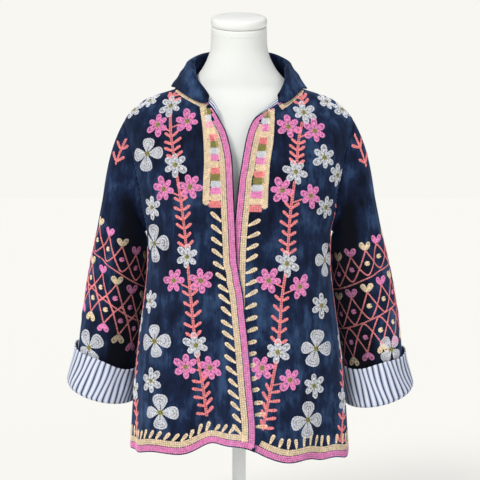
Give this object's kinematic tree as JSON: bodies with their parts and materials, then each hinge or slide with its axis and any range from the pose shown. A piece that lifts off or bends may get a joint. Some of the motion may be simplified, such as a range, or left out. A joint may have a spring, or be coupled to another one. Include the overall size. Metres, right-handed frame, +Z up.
{
  "type": "suzani jacket on a limbless dress form with a stand",
  "caption": "Velvet jacket with embroidered vines, rolled collar, open front and turned-back striped cuffs, worn on a limbless dress form with a pole and a round base.",
  "frame": {"origin": "middle of the stand base's underside, on the floor", "axes": "+Z up the pole, -Y to the jacket's front, +X to the wearer's left"},
  "size_m": [0.646, 0.3074, 0.9845],
  "materials": {
    "velvet": "navy cotton velvet with a soft worn nap",
    "striped_lining": "ribbed cotton with narrow white and blue stripes",
    "thread_cream": "chain stitched cotton thread",
    "thread_pink": "chain stitched cotton thread",
    "thread_coral": "chain stitched cotton thread",
    "thread_white": "chain stitched cotton thread",
    "thread_olive": "chain stitched cotton thread",
    "form_jersey": "smooth white jersey stretched over a hard form",
    "cap_lacquer": "satin white",
    "stand_metal": "satin white powder coat"
  },
  "bodies": {
    "root": {"front_right": "velvet", "front_left": "velvet", "back": "velvet", "sleeve_right": "velvet", "sleeve_left": "velvet", "collar": "velvet", "cuff_right": "striped_lining", "cuff_left": "striped_lining", "torso": "form_jersey", "neck_cap": "cap_lacquer", "pole": "stand_metal", "stand_base": "stand_metal"}
  },
  "joints": []
}
